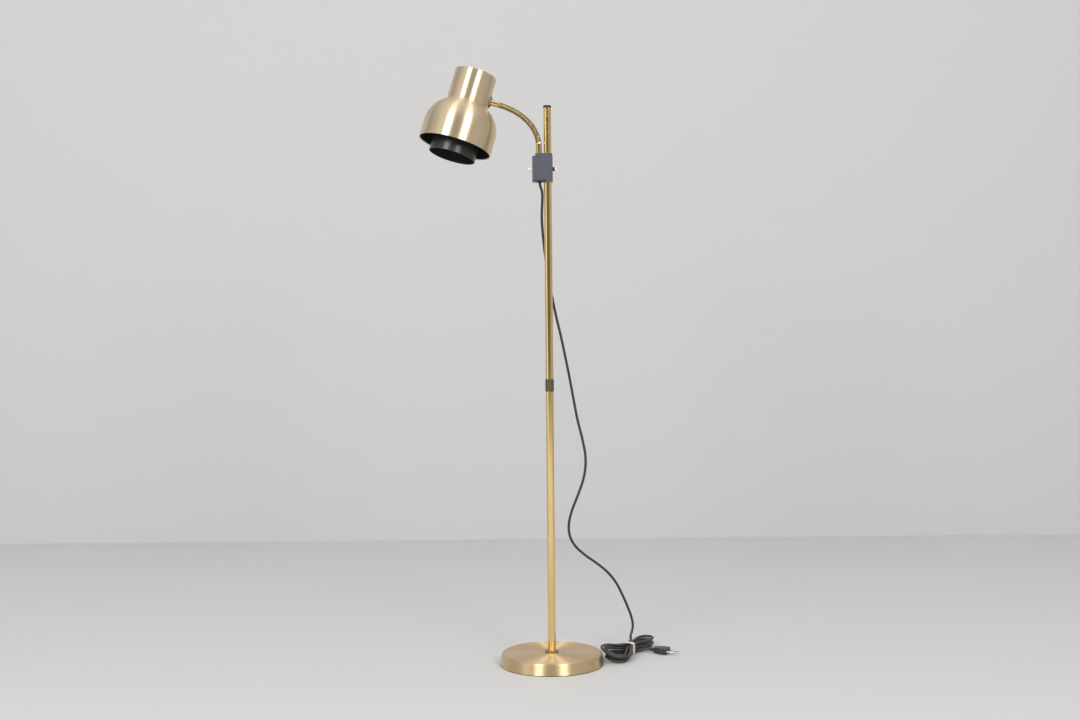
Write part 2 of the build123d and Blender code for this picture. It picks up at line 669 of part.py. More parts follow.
def bell_form(inset, bottom):
    """The shade's outer form, or the form of its inside at the sheet's inset."""
    neck_r = NECK_R - inset
    bowl_r = BOWL_R - inset
    top = ARM_DEPTH - inset
    corner_z = BOWL_CENTRE_Z + math.sqrt(bowl_r**2 - (neck_r - BOWL_CENTRE_R)**2)
    start = math.atan2(corner_z - BOWL_CENTRE_Z, neck_r - BOWL_CENTRE_R)
    middle = (BOWL_CENTRE_R + bowl_r * math.cos(start / 2), 0,
              BOWL_CENTRE_Z + bowl_r * math.sin(start / 2))
    corner = (neck_r, 0, corner_z)
    side_top = (BOWL_CENTRE_R + bowl_r, 0, BOWL_CENTRE_Z)
    upper = Polyline((0, 0, top), (neck_r, 0, top), corner)
    shoulder = ThreePointArc(corner, middle, side_top)
    lower = Polyline(side_top, (BOWL_CENTRE_R + bowl_r, 0, bottom), (0, 0, bottom), (0, 0, top))
    form = revolve(make_face(upper.edges() + shoulder.edges() + lower.edges()), Axis.Z)
    form = round_rim(form, top, max(NECK_EDGE_R - inset, SLIP_GAP))
    return round_rim(form, corner_z, NECK_FILLET_R + inset)


def shade_bore_at(z):
    """The shade's inner radius below its neck: the round shoulder, and the straight side under it."""
    rise = max(z - BOWL_CENTRE_Z, 0)
    return BOWL_CENTRE_R + math.sqrt((BOWL_R - SHADE_SHEET)**2 - rise**2)


def make_shade():
    shell = bell_form(0, RIM_Z) - bell_form(SHADE_SHEET, RIM_Z - OVERRUN)
    hole = rod(NIPPLE_D / 2 + RUN_GAP, 0, NECK_R + OVERRUN)
    shell -= sideways(0, 0, 0) * hole
    vent = rod(VENT_D / 2, ARM_DEPTH - OVERRUN, ARM_DEPTH + OVERRUN)
    for place in PolarLocations(VENT_CIRCLE_D / 2, VENT_COUNT):
        shell -= place * vent
    return shell


def make_saddle():
    """The washer under the arm's ferrule, hollowed to sit on the round neck."""
    washer = ring(SADDLE_D / 2, NIPPLE_D / 2 + RUN_GAP, 0, NECK_R + SADDLE_T)
    return sideways(0, 0, 0) * washer - rod(NECK_R, -SADDLE_D, SADDLE_D)


def make_louvre():
    tube_r = LOUVRE_D / 2
    bottom = RIM_Z - LOUVRE_DROP
    top = RIM_Z + LOUVRE_RISE
    skirt_r = shade_bore_at(top) - LOUVRE_GAP
    skirt_z = RIM_Z + LOUVRE_SKIRT_LIFT
    return turned([
        (tube_r - LOUVRE_WALL, bottom), (tube_r, bottom), (tube_r, top - LOUVRE_WALL),
        (skirt_r - LOUVRE_WALL, top - LOUVRE_WALL), (skirt_r - LOUVRE_WALL, skirt_z),
        (skirt_r, skirt_z), (skirt_r, top), (tube_r - LOUVRE_WALL, top)])


def make_louvre_clips():
    """Bent leaf springs that stand on the glare tube's flange and bear on the shade."""
    base = RIM_Z + LOUVRE_RISE
    outer = math.sqrt(shade_bore_at(base + CLIP_H)**2 - (CLIP_W / 2)**2) - CLIP_GAP
    half_w = CLIP_W / 2
    clip = block(outer - CLIP_TAB_L, outer, half_w, base, base + CLIP_T)
    clip += block(outer - CLIP_T, outer, half_w, base, base + CLIP_H)
    turns = [Rot(0, 0, 360 / CLIP_COUNT * index) for index in range(CLIP_COUNT)]
    return Compound(children=[turn * clip for turn in turns])


def make_bracket():
    arm_top = BRACKET_RISE + BRACKET_T
    inner = BRACKET_X - BRACKET_T
    plate = block(inner, BRACKET_X, BRACKET_W / 2, -BRACKET_DROP, arm_top)
    plate += block(-BRACKET_PAST, BRACKET_X, BRACKET_W / 2, BRACKET_RISE, arm_top)
    plate -= sideways(0, 0, 0) * rod(NIPPLE_D / 2 + RUN_GAP, 0, NECK_R)
    return plate - rod(HOLDER_NIPPLE_D / 2 + SLIP_GAP, 0, arm_top + OVERRUN)


def make_lampholder():
    body = rod(HOLDER_D / 2, HOLDER_MOUTH_Z, BRACKET_RISE)
    body = round_rim(body, BRACKET_RISE, HOLDER_EDGE_R)
    body += rod(HOLDER_NIPPLE_D / 2, BRACKET_RISE, BRACKET_RISE + HOLDER_NIPPLE_L)
    bore_r = HOLDER_BORE_D / 2
    return body - rod(bore_r, HOLDER_MOUTH_Z - OVERRUN, HOLDER_MOUTH_Z + HOLDER_BORE_L)


def bulb_form(inset, top):
    """A globe with a neck: a straight line leaves the neck and runs tangent into the globe."""
    radius = BULB_D / 2 - inset
    neck_r = BULB_NECK_D / 2 - inset
    neck_z = HOLDER_MOUTH_Z - BULB_NECK_L
    centre_z = HOLDER_MOUTH_Z - BULB_L + BULB_D / 2
    distance = math.hypot(neck_r, neck_z - centre_z)
    touch = math.atan2(neck_z - centre_z, neck_r) - math.acos(radius / distance)
    middle = (touch - math.pi / 2) / 2
    touch_point = (radius * math.cos(touch), 0, centre_z + radius * math.sin(touch))
    middle_point = (radius * math.cos(middle), 0, centre_z + radius * math.sin(middle))
    bottom_point = (0, 0, centre_z - radius)
    upper = Polyline(bottom_point, (0, 0, top), (neck_r, 0, top), (neck_r, 0, neck_z), touch_point)
    globe = ThreePointArc(touch_point, middle_point, bottom_point)
    return revolve(make_face(upper.edges() + globe.edges()), Axis.Z)


def make_bulb_glass():
    return bulb_form(0, HOLDER_MOUTH_Z) - bulb_form(BULB_WALL, HOLDER_MOUTH_Z + OVERRUN)


def shade_pieces():
    """Everything that turns with the shade on the arm's nipple."""
    cap_r = HOLDER_BORE_D / 2 - BULB_CAP_GAP
    arm_top = BRACKET_RISE + BRACKET_T
    holder_nut = hex_nut(HOLDER_NUT_ACROSS, HOLDER_NIPPLE_D / 2 + SLIP_GAP,
                         arm_top, arm_top + HOLDER_NUT_H)
    pieces = {
        "shade": make_shade(),
        "shade_saddle": make_saddle(),
        "louvre": make_louvre(),
        "louvre_clips": make_louvre_clips(),
        "holder_bracket": make_bracket(),
        "holder_nut": holder_nut,
        "lampholder": make_lampholder(),
        "bulb_cap": rod(cap_r, HOLDER_MOUTH_Z, HOLDER_MOUTH_Z + BULB_CAP_L),
        "bulb_glass": make_bulb_glass(),
    }
    place = shade_place()
    return {name: place * piece for name, piece in pieces.items()}


# Mains cord


def cord_tube(name, points):
    """A cord along straight runs joined by arcs as large as the runs allow."""
    route = [Vector(*tuple(point)) for point in points]
    runs = [after - before for before, after in zip(route, route[1:])]
    radii = []
    for before, after in zip(runs, runs[1:]):
        turn = math.radians(before.get_angle(after))
        shorter = min(before.length, after.length)
        radii.append(ARC_RUN_SHARE * shorter / math.tan(turn / 2))
    path = FilletPolyline(*route, radius=radii)
    start = Plane(origin=route[0], z_dir=runs[0])
    tube = sweep(start * Circle(CORD_R), path)
    share = tube.volume / (math.pi * CORD_R**2 * path.length)
    print(f"{name}: length {path.length:.0f}, least radius {min(radii):.1f}, volume share {share:.4f}")
    return tube


def hank_point(turns):
    """The hank's centreline after a number of turns: a peanut-shaped loop, pushed outwards along
    its normal as the spiral opens, and lifted a layer over the half turn where it reverses."""
    ends = [sum(HANK_LAYER_TURNS[:count]) for count in range(len(HANK_LAYER_TURNS) + 1)]
    layer = 0.0
    for end in ends[1:-1]:
        climb = (turns - end) / HANK_CLIMB_TURN_SHARE + 0.5
        climb = min(max(climb, 0.0), 1.0)
        layer += climb**2 * (3 - 2 * climb)
    index = max(count for count in range(len(HANK_LAYER_TURNS)) if turns >= ends[count])
    done = turns - ends[index]
    spread = done if index % 2 else HANK_LAYER_TURNS[index] - done
    angle = -math.pi / 2 - turns * 2 * math.pi
    sine, cosine = math.sin(angle), math.cos(angle)
    along = HANK_HALF_L * cosine
    across = sine * (HANK_WAIST + HANK_LOBE * cosine**2)
    along_slope = -HANK_HALF_L * sine
    across_slope = cosine * (HANK_WAIST + HANK_LOBE * cosine**2) - 2 * HANK_LOBE * cosine * sine**2
    slope = math.hypot(along_slope, across_slope)
    push = HANK_STEP * spread / slope
    flat = Vector(along + push * across_slope, across - push * along_slope, layer * HANK_LAYER)
    return Pos(HANK_X, HANK_Y, HANK_Z) * Rot(0, 0, HANK_YAW) * Pos(flat)


def hank_centreline():
    """Points along the hank, at the same places in every turn, with the direction at each."""
    total = sum(HANK_LAYER_TURNS)
    whole = math.floor(total * HANK_SPANS_PER_TURN)
    reach = 1 / HANK_SPANS_PER_TURN**4
    points = []
    for turns in [index / HANK_SPANS_PER_TURN for index in range(whole + 1)] + [total]:
        before = hank_point(max(turns - reach, 0)).position
        after = hank_point(min(turns + reach, total)).position
        points.append((hank_point(turns).position, (after - before).normalized()))
    return points


def biarc(start, start_way, end, end_way):
    """Two arcs that leave one point and reach another in given directions."""
    chord = end - start
    ways = start_way + end_way
    bend = 2 * (1 - start_way.dot(end_way))
    lean = chord.dot(ways)
    reach = (math.sqrt(lean**2 + bend * chord.dot(chord)) - lean) / bend
    first = start + start_way * reach
    second = end - end_way * reach
    middle = (first + second) / 2
    return [Edge.make_tangent_arc(start, start_way, middle),
            Edge.make_tangent_arc(middle, second - first, end)]


def hank_ends():
    """The two ends of the hank, one cord diameter past its turns, with their directions."""
    line = hank_centreline()
    (first, first_way), (last, last_way) = line[0], line[-1]
    return (first - first_way * CORD_D, first_way), (last + last_way * CORD_D, last_way)


def print_hank_gap(path):
    """Measure how near the hank comes to itself, on points along its path."""
    count = math.ceil(path.length / CORD_R)
    step = path.length / count
    apart = math.ceil(HANK_NEIGHBOUR_L / step)
    line = [path.position_at(index / count) for index in range(count + 1)]
    nearest = min((line[later] - line[first]).length
                  for first in range(count) for later in range(first + apart, count + 1))
    print(f"cord_hank: least gap to itself {nearest - CORD_D:.2f}")


def make_hank():
    line = hank_centreline()
    (entry, entry_way), (leave, leave_way) = hank_ends()
    edges = [Edge.make_line(entry, line[0][0])]
    for (start, start_way), (end, end_way) in zip(line, line[1:]):
        edges += biarc(start, start_way, end, end_way)
    edges.append(Edge.make_line(line[-1][0], leave))
    path = Wire(edges)
    hank = sweep(Plane(origin=entry, z_dir=entry_way) * Circle(CORD_R), path)
    share = hank.volume / (math.pi * CORD_R**2 * path.length)
    print(f"cord_hank: length {path.length:.0f}, volume share {share:.4f}")
    print_hank_gap(path)
    return hank


def make_band():
    """The rubber band round the waist, as a flat loop that clears every turn."""
    layers = len(HANK_LAYER_TURNS)
    left = HANK_WAIST + HANK_STEP * HANK_LAYER_TURNS[-1] + CORD_R + BAND_GAP
    right = HANK_WAIST + HANK_STEP * HANK_LAYER_TURNS[0] + CORD_R + BAND_GAP
    height = HANK_LAYER * (layers - 1) + CORD_D + 2 * BAND_GAP
    width = left + right
    inner = RectangleRounded(width, height, CORD_R)
    outer = RectangleRounded(width + 2 * BAND_T, height + 2 * BAND_T, CORD_R + BAND_T)
    across = Plane(origin=(0, (left - right) / 2, BAND_T + height / 2), x_dir=(0, 1, 0), z_dir=(1, 0, 0))
    band = extrude(across * (outer - inner), BAND_W / 2, both=True)
    return Pos(HANK_X, HANK_Y, 0) * Rot(0, 0, HANK_YAW) * band


def plug_place():
    """The plug's frame: X along its pins, Z up, the origin where the cord enters its sleeve."""
    heading = math.radians(PLUG_HEADING)
    forward = Vector(math.cos(heading), math.sin(heading), 0)
    return Plane(origin=(*PLUG_ENTRY, PLUG_H / 2), x_dir=forward, z_dir=(0, 0, 1)).location


def make_plug_body():
    """A flat body that widens from the cord's tapered sleeve to the pins."""
    rear = SLEEVE_L
    shoulder = rear + PLUG_TAPER_L
    front = rear + PLUG_L
    outline = Polyline(
        (rear, -PLUG_REAR_W / 2), (shoulder, -PLUG_W / 2), (front, -PLUG_W / 2),
        (front, PLUG_W / 2), (shoulder, PLUG_W / 2), (rear, PLUG_REAR_W / 2), close=True)
    body = Pos(0, 0, -PLUG_H / 2) * extrude(make_face(outline), PLUG_H)
    body = fillet(body.edges(), PLUG_EDGE_R)
    taper = turned([(0, 0), (SLEEVE_TIP_D / 2, 0), (SLEEVE_D / 2, rear + PLUG_EDGE_R),
                    (0, rear + PLUG_EDGE_R)])
    return plug_place() * (body + sideways(0, 0, 0) * taper)


def make_plug_pins():
    pin = sideways(0, 0, 0) * rod(PIN_D / 2, SLEEVE_L + PLUG_L, SLEEVE_L + PLUG_L + PIN_L)
    pins = [Pos(0, side * PIN_PITCH / 2, 0) * pin for side in (-1, 1)]
    return plug_place() * Compound(children=pins)


def cord_pieces():
    """The cord in its stretches, the band round the hank and the plug."""
    (entry, entry_way), (leave, leave_way) = hank_ends()
    exit_point = Vector(-CORD_X, 0, CORD_EXIT_Z)
    exit_end = exit_point - Vector(0, 0, CORD_EXIT_RUN)
    split = (Vector(*CORD_TOP_POINTS[-1]) + Vector(*CORD_DROP_POINTS[0])) / 2
    settle = leave + leave_way * HANK_LEAVE_RUN
    plug = plug_place()
    plug_entry = plug.position
    plug_run = (plug * Pos(-TAIL_RUN, 0, 0)).position
    tail = [entry, entry - entry_way * TAIL_RUN, TAIL_MIDDLE, plug_run, plug_entry]
    return {
        "cord_top": cord_tube("cord_top", [exit_point, exit_end, *CORD_TOP_POINTS, split]),
        "cord_drop": cord_tube("cord_drop", [split, *CORD_DROP_POINTS, settle, leave]),
        "cord_hank": make_hank(),
        "cord_tail": cord_tube("cord_tail", tail),
        "hank_band": make_band(),
        "plug_body": make_plug_body(),
        "plug_pins": make_plug_pins(),
    }


if __name__ == "__main__":
    os.makedirs("parts", exist_ok=True)
    lamp = base_and_pole() | clamp_pieces() | arm_pieces() | shade_pieces() | cord_pieces()
    for node, solid in lamp.items():
        export_step(solid, f"parts/{node}.step")
    print(f"{len(lamp)} nodes")
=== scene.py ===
# %% [markdown]
# # A brass floor lamp
# This lesson dresses a floor lamp whose metal, plastic and glass pieces come from a CAD model.
# Blender adds what CAD leaves plain: the free cord with its hank, the ribbed gooseneck, and a
# finish for every surface. The CAD pieces stay where they are, and the rubber band is tied to the
# stand.

# %% Load the lamp
import json
import math

import bpy
import numpy as np
from mathutils import Matrix, Vector


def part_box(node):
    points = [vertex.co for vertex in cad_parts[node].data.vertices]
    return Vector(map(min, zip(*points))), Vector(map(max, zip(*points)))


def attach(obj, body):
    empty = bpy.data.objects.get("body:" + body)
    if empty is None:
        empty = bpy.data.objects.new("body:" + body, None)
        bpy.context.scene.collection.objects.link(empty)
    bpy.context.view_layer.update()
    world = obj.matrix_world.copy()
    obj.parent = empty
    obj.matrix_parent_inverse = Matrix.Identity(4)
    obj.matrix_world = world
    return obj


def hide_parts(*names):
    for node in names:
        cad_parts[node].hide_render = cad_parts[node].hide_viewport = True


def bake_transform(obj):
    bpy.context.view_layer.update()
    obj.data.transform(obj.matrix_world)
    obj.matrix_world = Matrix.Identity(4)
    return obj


MM_PER_M = 1000

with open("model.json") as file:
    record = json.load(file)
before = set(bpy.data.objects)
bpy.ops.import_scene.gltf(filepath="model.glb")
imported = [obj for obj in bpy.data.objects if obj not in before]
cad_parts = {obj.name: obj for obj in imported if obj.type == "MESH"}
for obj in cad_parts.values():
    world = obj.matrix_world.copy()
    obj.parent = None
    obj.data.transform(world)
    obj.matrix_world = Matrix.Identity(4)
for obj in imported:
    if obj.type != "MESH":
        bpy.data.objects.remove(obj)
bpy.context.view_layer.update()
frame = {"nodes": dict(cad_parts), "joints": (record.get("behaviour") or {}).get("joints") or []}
nodes = frame["nodes"]
joints = {joint["name"]: joint for joint in frame["joints"]}

# %% [markdown]
# ## The camera
# The lamp was photographed from about three metres away and from the height of a table, with
# the camera tipped down a little. A 50 mm lens on a 36 mm sensor gives the same perspective.
# The slight roll makes the pole lean as it does in the picture.

# %% Camera
CAMERA_PLACE = (-0.0193, -3.08, 0.76)
CAMERA_TIP = math.radians(2.4)
CAMERA_ROLL = -0.0092
LENS_MM = 50
SENSOR_MM = 36

camera = bpy.data.objects.new("camera", bpy.data.cameras.new("camera"))
camera.data.lens = LENS_MM
camera.data.sensor_width = SENSOR_MM
level_turn = Matrix.Rotation(math.pi / 2 - CAMERA_TIP, 4, "X")
roll_turn = Matrix.Rotation(CAMERA_ROLL, 4, "Z")
camera.matrix_world = Matrix.Translation(CAMERA_PLACE) @ (level_turn @ roll_turn)
bpy.context.collection.objects.link(camera)
bpy.context.scene.camera = camera
print("camera at", CAMERA_PLACE)

# %% [markdown]
# ## Surfaces from arrays
# Every new piece is a grid of points: a path gives the rows, and a profile round the path gives
# the columns. Working on whole arrays keeps the code short and fast, and a grid gets its UV map
# for free, because its rows and columns already are the two directions of the surface.


# %% Grid to mesh
def grid_piece(name, points, lengths):
    """A tube-like mesh from rows of points: one quad between each four neighbours, the last
    column joined to the first, and a flat lid on both ends. UV is (share round, length along)."""
    rows, columns = points.shape[:2]
    number = np.arange(rows * columns).reshape(rows, columns)
    after = np.roll(number, -1, axis=1)
    quads = np.stack([number[:-1], after[:-1], after[1:], number[1:]], -1).reshape(-1, 4)
    lids = [number[0, ::-1].tolist(), number[-1].tolist()]
    mesh = bpy.data.meshes.new(name)
    mesh.from_pydata(points.reshape(-1, 3).tolist(), [], quads.tolist() + lids)
    here = np.broadcast_to(np.arange(columns) / columns, (rows - 1, columns))
    there = here + 1 / columns
    low = np.broadcast_to(lengths[:-1, None], (rows - 1, columns))
    high = np.broadcast_to(lengths[1:, None], (rows - 1, columns))
    corners = np.stack([np.stack([here, low], -1), np.stack([there, low], -1),
                        np.stack([there, high], -1), np.stack([here, high], -1)], 2)
    flat = np.zeros((len(mesh.loops), 2), np.float32)
    flat[:len(quads) * 4] = corners.reshape(-1, 2)
    mesh.uv_layers.new(name="UVMap").uv.foreach_set("vector", flat.ravel())
    mesh.shade_smooth()
    mesh.validate()
    piece = bpy.data.objects.new(name, mesh)
    bpy.context.collection.objects.link(piece)
    return piece


print("grid helper ready")

# %% [markdown]
# A tube needs two directions square to its path at every point. If they were found afresh each
# time, the tube could twist between two rows, so each pair is carried on from the one before.

# %% Path to tube
SLANTING_WAY = (0.36, 0.48, 0.8)


def path_lengths(path):
    """The distance from the start of a path to each of its points."""
    steps = np.linalg.norm(np.diff(path, axis=0), axis=1)
    return np.concatenate([[0.0], np.cumsum(steps)])


def unit_tangents(path):
    """The direction of a path at each of its points."""
    tangents = np.gradient(path, axis=0)
    return tangents / np.linalg.norm(tangents, axis=1, keepdims=True)


def carried_frames(path):
    """At each point of a path: two unit vectors square to it, carried along with no twist. Each
    step drops what points along the path from the vector before it."""
    tangents = unit_tangents(path)
    carried = np.cross(tangents[0], SLANTING_WAY)
    normals = np.empty_like(path)
    for row, tangent in enumerate(tangents):
        carried = carried - tangent * (carried @ tangent)
        carried /= np.linalg.norm(carried)
        normals[row] = carried
    return normals, np.cross(tangents, normals)


def tube(name, path, radius, sides=20):
    """A round tube: path + radius * (cosine * one normal + sine * the other)."""
    normals, sidewise = carried_frames(path)
    angle = np.linspace(0, 2 * np.pi, sides, endpoint=False)
    ring = (np.cos(angle)[None, :, None] * normals[:, None]
            + np.sin(angle)[None, :, None] * sidewise[:, None])
    return grid_piece(name, path[:, None] + radius * ring, path_lengths(path))


print("tube helper ready")

# %% [markdown]
# ## The mains cord
# The cord leaves the clamp through a grommet, hangs behind the pole, swings out to the right in
# one lazy bow and comes down on a hank that a rubber band holds together. Its line could be drawn
# point by point, but a NURBS spline needs only a few control points and bends evenly between
# them, as a real sheath does. The points are in millimetres.

# %% Where the cord hangs
CORD_RADIUS = 0.0027
CLAMP_EXIT = (-16.4, 0.0, 993.75)
HANGING = [
    (-15.7, 0.2, 986.0), (-11.4, 2.6, 976.5), (-11.4, 6.6, 957.0), (-13.4, 11.6, 929.0),
    (-12.0, 14.6, 898.0), (-9.0, 16.4, 865.0), (-5.0, 17.6, 831.0),
]
FALLING = [
    (0.4, 18.4, 796.0), (6.8, 18.8, 761.0), (14.0, 19.0, 723.0), (23.6, 20.0, 683.0),
    (32.4, 22.0, 640.0), (41.0, 24.6, 596.0), (49.0, 27.6, 551.0), (57.0, 31.0, 505.0),
    (68.0, 35.0, 463.0), (75.4, 39.0, 422.0), (71.0, 43.0, 382.0), (57.0, 48.0, 343.0),
    (42.0, 54.0, 306.0), (36.0, 59.0, 270.0), (46.0, 65.5, 239.0), (70.0, 74.5, 215.0),
    (97.0, 84.0, 195.0), (121.0, 93.5, 174.0), (139.6, 104.5, 149.0), (152.6, 116.5, 121.0),
    (164.2, 127.2, 93.5), (173.2, 133.6, 69.0), (176.6, 134.6, 51.0), (174.2, 132.4, 38.0),
    (170.2, 128.0, 28.4),
]
TAIL_MIDDLE = (191.0, 97.0, 5.5)
PLUG_ENTRY = np.array([210.6, 94.0, 6.8])
PLUG_YAW = math.radians(-25)
PLUG_WAY = np.array([math.cos(PLUG_YAW), math.sin(PLUG_YAW), 0])
print(len(HANGING) + len(FALLING), "control points above the hank")

# %% [markdown]
# ## The hank
# Someone wound the spare cord over a hand in four and a half loops and pinched its waist with
# the band. The loops could be modelled one by one, but they are all one curve, so a formula winds
# them: a peanut-shaped loop that spirals out and in again, one layer above the other. A few more
# terms then shape the coil as it lies in the picture.

# %% Winding
HANK_CENTRE = np.array([168.0, 82.0, 4.25])
HANK_YAW = math.radians(61.4)
LAYER_TURNS = np.array([1.0, 1.0, 1.0, 1.54])
HANK_REACH = 88.0
HANK_WAIST = 1.5
HANK_SWELL = 40.0
TURN_GAP = 7.1
LAYER_RISE = 5.9
CLIMB_TURNS = 0.5
TOP_HEIGHT = 3 * LAYER_RISE
LOBE_WIDTH = 40.0
NEAR_RATE = 1.5
FAR_RATE = 1.3
WAIST_RATE = 2
LAST_TURN_OUT = 3.2
BACK_LIFT = 8.0
BACK_OUT = 6.5
FRONT_FLAT_SHARE = 0.48
FAR_SINK = 1.3
FAR_FLAT_SHARE = 0.08
FAR_NARROW_SHARE = 0.24
WAIST_NARROW_SHARE = 0.25


def ease(share):
    """A smooth step from 0 to 1: 3 s^2 - 2 s^3."""
    share = np.clip(share, 0, 1)
    return share**2 * (3 - 2 * share)


def beside_hank(along, across, height):
    """Places given along, across and above the hank, turned and moved to where it lies."""
    return HANK_CENTRE + np.stack([along * math.cos(HANK_YAW) - across * math.sin(HANK_YAW),
                                   along * math.sin(HANK_YAW) + across * math.cos(HANK_YAW),
                                   height], 1)


def hank_line(turns):
    """The hank after a number of turns. A loop (reach cos a, sin a (waist + swell cos^2 a)) is
    pushed out along its normal by one gap a turn, out on one layer and in on the next, and rises
    along a smooth step at the end of each layer. At the near end the back of the coil is then
    lifted and pushed out onto the base, the front sinks flat, and the last turn lies outside the
    others. The far end and the waist are drawn in."""
    ends = np.concatenate([[0], np.cumsum(LAYER_TURNS)])
    climbs = ease((turns[:, None] - ends[1:-1]) / CLIMB_TURNS + 0.5)
    height = LAYER_RISE * climbs.sum(axis=1)
    layer = np.clip(np.searchsorted(ends, turns, side="right") - 1, 0, len(LAYER_TURNS) - 1)
    done = turns - ends[layer]
    spread = TURN_GAP * np.where(layer % 2 == 1, done, LAYER_TURNS[layer] - done)
    angle = -np.pi / 2 - turns * 2 * np.pi
    sine, cosine = np.sin(angle), np.cos(angle)
    waist = HANK_WAIST + HANK_SWELL * cosine**2
    near, far = ease(-NEAR_RATE * cosine), ease(FAR_RATE * cosine)
    back = ease(sine * waist / LOBE_WIDTH + 0.5)
    front = near * (1 - back)
    last_turn = turns > ends[-1] - LAYER_TURNS[-1] + 1
    spread = spread + LAST_TURN_OUT * front * last_turn
    along_slope = -HANK_REACH * sine
    across_slope = cosine * waist - 2 * HANK_SWELL * cosine * sine**2
    push = spread / np.hypot(along_slope, across_slope)
    along = HANK_REACH * cosine + push * across_slope
    across = sine * waist - push * along_slope
    middle = ease(1 - WAIST_RATE * np.abs(cosine))
    drawn_in = FAR_NARROW_SHARE * far + WAIST_NARROW_SHARE * middle
    across = across * (1 - drawn_in) + BACK_OUT * near * back**2 * height / TOP_HEIGHT
    flat = FRONT_FLAT_SHARE * front + FAR_FLAT_SHARE * far
    height = height * (1 - flat) + BACK_LIFT * near * back**2 - FAR_SINK * far
    return beside_hank(along, across, height)


print("hank of", LAYER_TURNS.sum(), "turns")

# %% [markdown]
# The route strings the stretches together. Between the hank and the free stretches there is a
# short straight run each way, in the direction in which the winding ends, so the spline goes
# into the hank and out of it without a corner.

# %% The cord's route
POINTS_PER_TURN = 28
SMALL_TURN = 1e-4
STRAIGHT_RUN = 5.4
SETTLE_RUN = 10.2
TAIL_RUN = 9.5


def end_way(points):
    """The unit direction of the last step of a line."""
    step = points[-1] - points[-2]
    return step / np.linalg.norm(step)


total_turns = LAYER_TURNS.sum()
hank = hank_line(np.linspace(total_turns, 0, round(total_turns * POINTS_PER_TURN)))
first_way = end_way(hank_line(np.array([total_turns - SMALL_TURN, total_turns])))
last_way = end_way(hank_line(np.array([SMALL_TURN, 0.0])))
leave = hank[0] + first_way * STRAIGHT_RUN
enter = hank[-1] + last_way * STRAIGHT_RUN
route = np.vstack([
    CLAMP_EXIT, *HANGING, *FALLING, leave + first_way * SETTLE_RUN, leave, hank, enter,
    enter + last_way * TAIL_RUN, TAIL_MIDDLE, PLUG_ENTRY - PLUG_WAY * TAIL_RUN,
    PLUG_ENTRY]) / MM_PER_M
print(len(route), "control points for the cord")

# %% [markdown]
# Blender's own NURBS curve turns the route into a smooth line. A curve with a bevel could be the
# cord by itself, but the line is also needed as numbers, to cut the cord and to measure it. So the
# curve is drawn once, read back and thrown away.

# %% The cord's line
SPLINE_ORDER = 3
SPLINE_STEPS = 8


def spline_points(route):
    """Points on the NURBS curve that has the route as its control points."""
    curve = bpy.data.curves.new("cord_line", "CURVE")
    curve.dimensions = "3D"
    curve.resolution_u = SPLINE_STEPS
    spline = curve.splines.new("NURBS")
    spline.points.add(len(route) - 1)
    spline.points.foreach_set("co", np.c_[route, np.ones(len(route))].ravel())
    spline.order_u = SPLINE_ORDER
    spline.use_endpoint_u = True
    holder = bpy.data.objects.new("cord_line", curve)
    bpy.context.collection.objects.link(holder)
    solved = holder.evaluated_get(bpy.context.evaluated_depsgraph_get())
    drawn = bpy.data.meshes.new_from_object(solved)
    points = np.empty(len(drawn.vertices) * 3)
    drawn.vertices.foreach_get("co", points)
    bpy.data.objects.remove(holder)
    bpy.data.curves.remove(curve)
    bpy.data.meshes.remove(drawn)
    return points.reshape(-1, 3)


cord_line = spline_points(route)
split_place = (np.array(HANGING[-1]) + np.array(FALLING[0])) / 2 / MM_PER_M
split = int(np.linalg.norm(cord_line - split_place, axis=1).argmin())
upper_line, lower_line = cord_line[:split + 1], cord_line[split:]

# %% [markdown]
# The clamp slides along the pole and swivels round it, so the cord can't ride on one body. It is
# cut in two where it passes behind the pole.

# %% Cord pieces
cord_upper = tube("cord_upper", upper_line, CORD_RADIUS)
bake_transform(cord_upper)
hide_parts("cord_top")
cord_lower = tube("cord_lower", lower_line, CORD_RADIUS)
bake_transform(cord_lower)
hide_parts("cord_drop", "cord_hank", "cord_tail")
print("cord tubes with", len(cord_upper.data.polygons) + len(cord_lower.data.polygons), "faces")

# %% [markdown]
# ## The rubber band
# A pale rubber band is wound six times round the waist of the hank. A plain ring would do from far
# away, but it wouldn't show the windings. It is one round strand along a helix whose section is a
# rounded oblong, so it hugs the bundle of turns, and it wanders a little as wound rubber does.

# %% Band
BAND_STRAND = 0.85
BAND_SIDES = 10
BAND_WRAPS = 6
BAND_POINTS = 600
BAND_HALF_WIDE = 11.6
BAND_ASIDE = 1.3
BAND_ROUNDNESS = 0.4
BAND_FROM, BAND_TO = -10.5, -1.0
BAND_WANDER = 0.5
WANDER_RATE = 1.37


def rounded(wave):
    """A wave with flat tops: sign * |wave|^roundness."""
    return np.sign(wave) * np.abs(wave)**BAND_ROUNDNESS


def band_line():
    """A helix round the hank: a rounded oblong, |cos|^0.4 by |sin|^0.4, that moves along the
    hank from one edge of the band to the other."""
    turn = np.linspace(0, BAND_WRAPS * 2 * np.pi, BAND_POINTS)
    low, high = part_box("hank_band")
    half_high = (high.z - low.z) / 2 * MM_PER_M - BAND_STRAND
    across = BAND_HALF_WIDE * rounded(np.cos(turn)) + BAND_ASIDE
    up = half_high * rounded(np.sin(turn)) + half_high + BAND_STRAND
    wander = BAND_WANDER * np.sin(turn * WANDER_RATE)
    along = np.linspace(BAND_FROM, BAND_TO, BAND_POINTS) + wander
    return beside_hank(along, across, up - HANK_CENTRE[2]) / MM_PER_M


